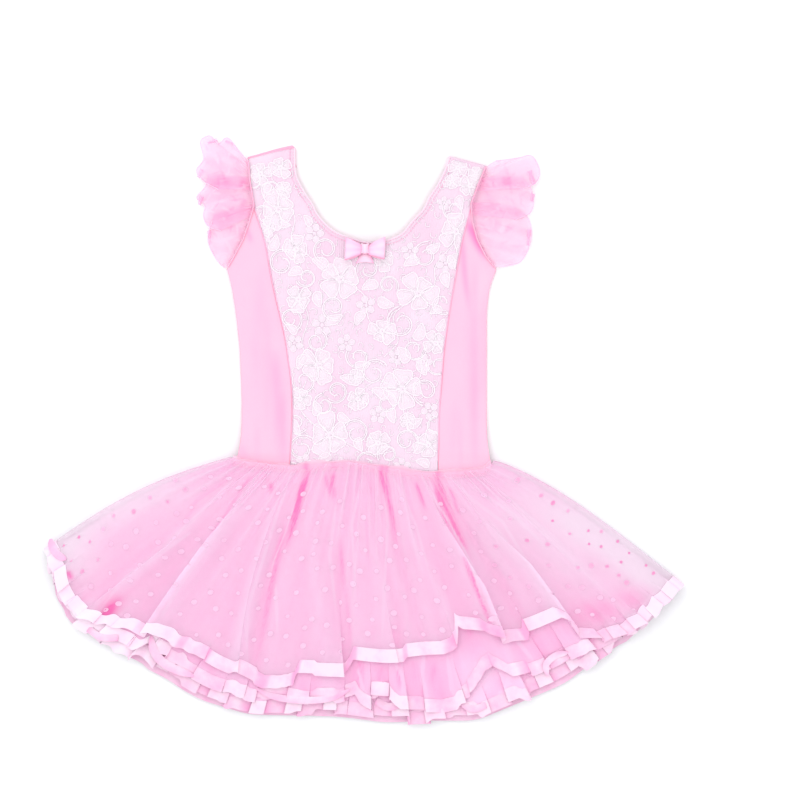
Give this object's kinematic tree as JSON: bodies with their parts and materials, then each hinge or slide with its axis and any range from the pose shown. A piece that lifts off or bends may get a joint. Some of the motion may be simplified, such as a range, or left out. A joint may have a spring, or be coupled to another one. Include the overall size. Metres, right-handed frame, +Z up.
{
  "type": "child's ballet dress",
  "caption": "Ballet dress laid flat: scoop-neck leotard bodice with lace front, bow and flutter sleeves, and a fanned skirt of layered tulle with ribbon hems.",
  "frame": {"origin": "centre of the dress's footprint, on the surface that it lies on", "axes": "+X across the spread skirt, +Y from the skirt toward the neck, +Z up from the surface"},
  "size_m": [0.644, 0.5888, 0.027],
  "materials": {
    "stretch_cloth": "soft matt stretch jersey",
    "lace": "corded lace",
    "tulle_overlay": "fine dotted tulle",
    "tulle_middle": "fine tulle",
    "tulle_under": "fine tulle",
    "satin_ribbon": "satin",
    "organza": "sheer organza",
    "satin_bow": "satin"
  },
  "bodies": {
    "root": {"bodice_back": "stretch_cloth", "bodice_front": "stretch_cloth", "bodice_lace": "lace", "bodice_side_left": "stretch_cloth", "bodice_side_right": "stretch_cloth", "skirt_overlay": "tulle_overlay", "ribbon_overlay": "satin_ribbon", "skirt_middle": "tulle_middle", "ribbon_middle": "satin_ribbon", "skirt_under": "tulle_under", "ribbon_under": "satin_ribbon", "sleeve_left_upper": "organza", "sleeve_left_middle": "organza", "sleeve_left_lower": "organza", "sleeve_right_upper": "organza", "sleeve_right_middle": "organza", "sleeve_right_lower": "organza", "bow_tail": "satin_bow", "bow_loop_left": "satin_bow", "bow_loop_right": "satin_bow", "bow_knot": "satin_bow"}
  },
  "joints": []
}
